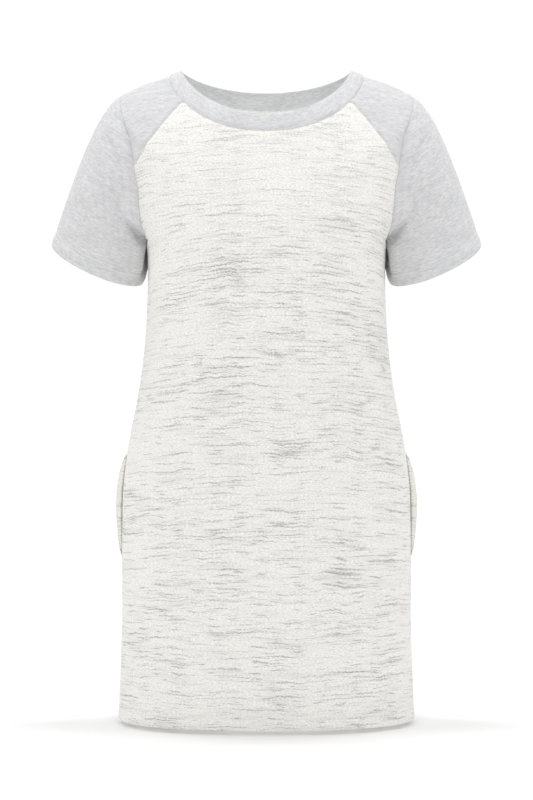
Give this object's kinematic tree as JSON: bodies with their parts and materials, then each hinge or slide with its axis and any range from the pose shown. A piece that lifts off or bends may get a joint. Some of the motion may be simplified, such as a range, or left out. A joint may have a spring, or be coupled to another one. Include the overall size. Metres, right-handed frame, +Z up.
{
  "type": "t-shirt dress",
  "caption": "Short-sleeved knit dress with a neckband, shoulder yokes and side-seam pockets, filled out as worn and hollow inside.",
  "frame": {"origin": "between the shoulders, in the middle of the neck opening at the height of the neckband's top beside the neck, where the wearer holds the dress up", "axes": "+Z up along the dress, the front faces -Y, +X towards the right-hand sleeve as seen from the front"},
  "size_m": [0.574, 0.2296, 0.8619],
  "materials": {
    "slub_knit": "matt off-white slub knit with broken grey streaks across",
    "marl_knit": "matt fine grey marl knit"
  },
  "bodies": {
    "root": {"front_panel": "slub_knit", "back_panel": "slub_knit", "pocket_front_bag_left": "slub_knit", "pocket_front_bag_right": "slub_knit", "pocket_back_bag_left": "slub_knit", "pocket_back_bag_right": "slub_knit", "shoulder_yoke_left": "marl_knit", "shoulder_yoke_right": "marl_knit", "sleeve_left": "marl_knit", "sleeve_right": "marl_knit", "neckband": "marl_knit"}
  },
  "joints": []
}
